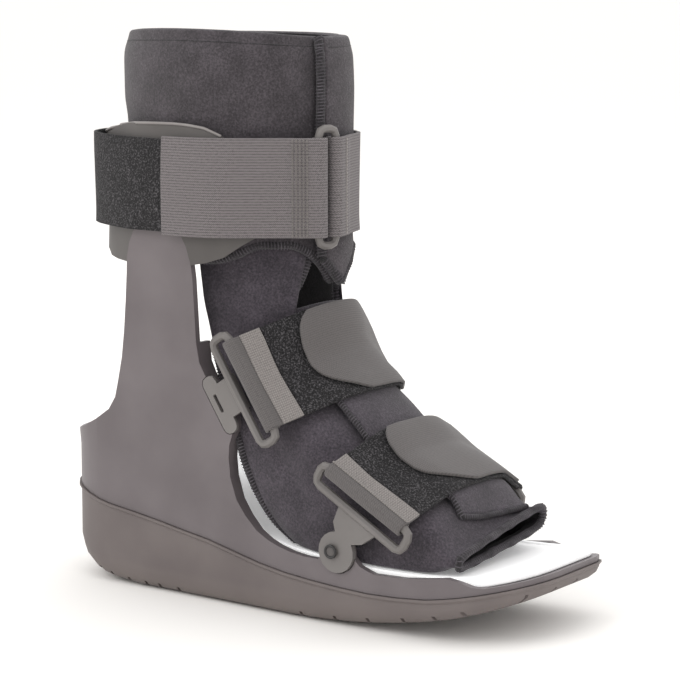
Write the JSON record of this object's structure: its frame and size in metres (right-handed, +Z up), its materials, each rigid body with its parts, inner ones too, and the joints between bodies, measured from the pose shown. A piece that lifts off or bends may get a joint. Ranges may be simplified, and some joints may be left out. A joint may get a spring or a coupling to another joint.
{
  "type": "walking boot",
  "caption": "Low walking boot: grey rocker sole and moulded shell with uprights, dark padded liner, calf cuff, white footbed and fastened straps.",
  "frame": {"origin": "on the ground, under the middle of the boot's bounding box", "axes": "+Z up, +X from the heel toward the toe, +Y toward the boot's far side, where the toe box is squarer"},
  "size_m": [0.2938, 0.1244, 0.29],
  "materials": {
    "outsole": "matte, warm grey",
    "shell": "satin moulded grey",
    "footbed": "smooth white foam",
    "cuff": "soft satin grey",
    "liner": "brushed loop cloth over foam",
    "pile": "dense loop pile",
    "webbing": "woven webbing",
    "bracket": "satin moulded grey",
    "rivet": "dark, slightly shiny"
  },
  "bodies": {
    "root": {"outsole": "outsole", "shell": "shell", "footbed": "footbed", "cuff": "cuff", "liner_leg": "liner", "liner_foot": "liner", "liner_flap": "liner", "top_strap_pile": "pile", "top_strap_tab": "webbing", "top_strap_front": "webbing", "top_ring": "bracket", "instep_bracket_near": "bracket", "instep_bracket_far": "bracket", "instep_strap": "pile", "instep_tab": "webbing", "toe_bracket_near": "bracket", "toe_bracket_far": "bracket", "toe_rivet_near": "rivet", "toe_rivet_far": "rivet", "toe_strap": "pile", "toe_tab": "webbing"}
  },
  "joints": []
}
